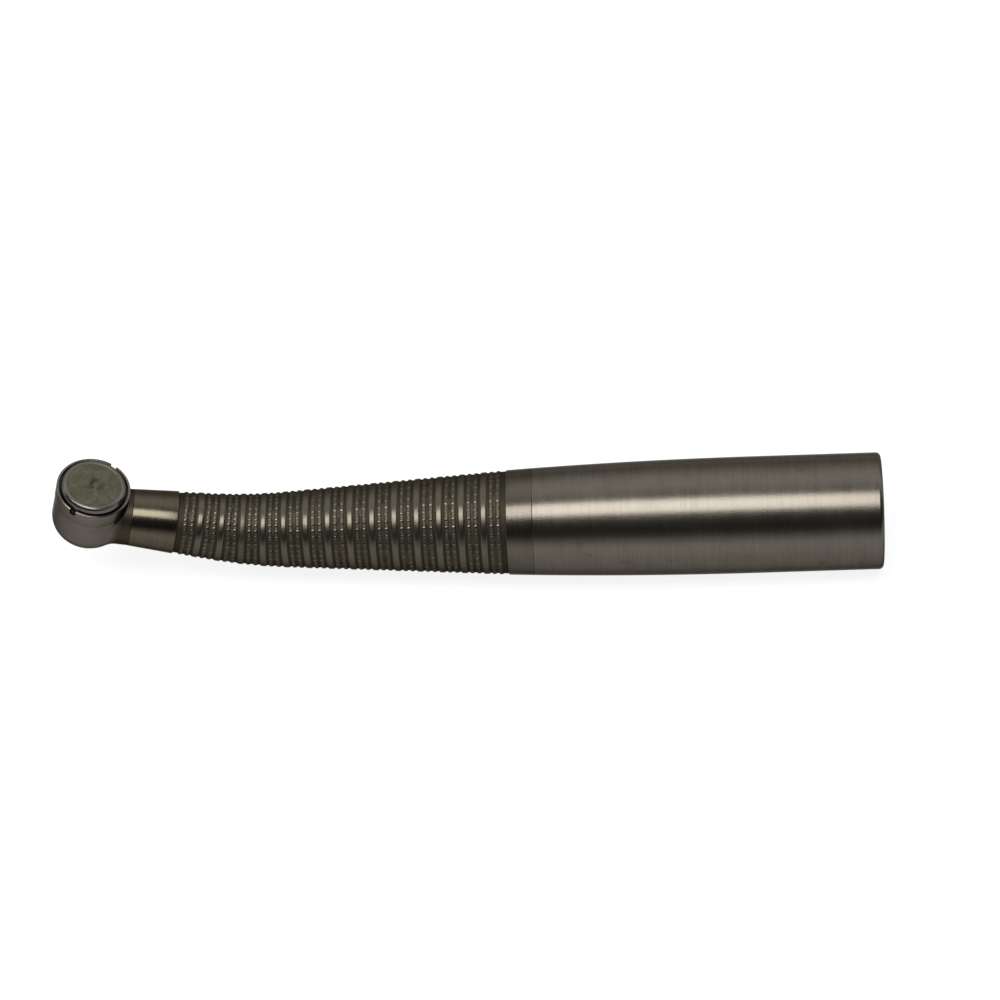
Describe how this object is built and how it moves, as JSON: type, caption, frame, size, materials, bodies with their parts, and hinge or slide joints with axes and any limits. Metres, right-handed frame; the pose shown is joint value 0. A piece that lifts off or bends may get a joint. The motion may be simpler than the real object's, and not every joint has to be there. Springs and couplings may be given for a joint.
{
  "type": "dental high-speed handpiece",
  "caption": "Air-turbine dental handpiece: push-button chuck head on a bent neck, ringed non-slip grip and a plain rear barrel with a coupler socket.",
  "frame": {"origin": "centre of the rear opening, on the barrel's axis", "axes": "+X out of the rear opening along the barrel, the head towards -X; the handle bends up to the head in the XZ plane and the button faces +Z"},
  "size_m": [0.1134, 0.016, 0.0204],
  "materials": {
    "satin_titanium": "fine circumferential satin, worn brighter on edges",
    "grip_titanium": "satin rings between sunk bands stained olive brown by use",
    "button_steel": "matt stained face with a polished bevel",
    "stainless": "turned stainless steel",
    "bearing_steel": "ground and polished",
    "cage_resin": "brown phenolic resin",
    "seal_rubber": "matt black",
    "spring_steel": "drawn wire",
    "impeller_aluminium": "machined",
    "clip_resin": "moulded"
  },
  "bodies": {
    "handle": {"rear_barrel": "satin_titanium", "coupling_socket": "stainless", "manifold_plate": "stainless", "collar_ring": "satin_titanium", "collar_o_ring": "seal_rubber", "grip_sleeve": "grip_titanium", "neck_sleeve": "satin_titanium", "neck_o_ring": "seal_rubber", "head_housing": "satin_titanium", "spray_ring": "stainless", "head_cap": "satin_titanium", "button_retaining_ring": "spring_steel", "button_spring": "spring_steel", "preload_washer": "spring_steel", "drive_tube": "stainless", "exhaust_tube": "stainless", "chip_air_tube": "stainless", "water_tube": "stainless", "barrel_tube_clip": "clip_resin", "rear_tube_clip": "clip_resin", "front_tube_clip": "clip_resin", "front_bearing_outer_race": "bearing_steel", "front_bearing_shield": "stainless", "front_bearing_o_ring": "seal_rubber", "rear_bearing_outer_race": "bearing_steel", "rear_bearing_shield": "stainless", "rear_bearing_o_ring": "seal_rubber"},
    "button": {"push_button": "button_steel"},
    "rotor": {"spindle": "bearing_steel", "impeller": "impeller_aluminium", "chuck_collet": "stainless", "front_bearing_inner_race": "bearing_steel", "rear_bearing_inner_race": "bearing_steel"},
    "front_ball_cage": {"front_bearing_balls": "bearing_steel", "front_bearing_cage": "cage_resin"},
    "rear_ball_cage": {"rear_bearing_balls": "bearing_steel", "rear_bearing_cage": "cage_resin"},
    "plunger": {"chuck_plunger": "bearing_steel"}
  },
  "joints": [
    {"name": "button_press", "type": "slide", "parent": "handle", "child": "button", "axis": [-0.2351, 0, -0.972], "range_m": [0, 0.0004], "stiffness_N_per_m": 4000, "springref_m": -0.0005, "deforming": ["button_spring"]},
    {"name": "rotor_spin", "type": "hinge", "parent": "handle", "child": "rotor", "pos_m": [-0.10834, 0, 0.0052], "axis": [0.2351, 0, 0.972], "continuous": true},
    {"name": "front_cage_spin", "type": "hinge", "parent": "handle", "child": "front_ball_cage", "pos_m": [-0.10834, 0, 0.0052], "axis": [0.2351, 0, 0.972], "continuous": true},
    {"name": "rear_cage_spin", "type": "hinge", "parent": "handle", "child": "rear_ball_cage", "pos_m": [-0.10834, 0, 0.0052], "axis": [0.2351, 0, 0.972], "continuous": true},
    {"name": "plunger_slide", "type": "slide", "parent": "rotor", "child": "plunger", "axis": [-0.2351, 0, -0.972], "range_m": [0, 0.0003]}
  ],
  "couplings": [
    {"joint": "front_cage_spin", "follows": "rotor_spin", "ratio": 0.40551},
    {"joint": "rear_cage_spin", "follows": "rotor_spin", "ratio": 0.40551},
    {"joint": "plunger_slide", "follows": "button_press", "ratio": 0.75}
  ]
}
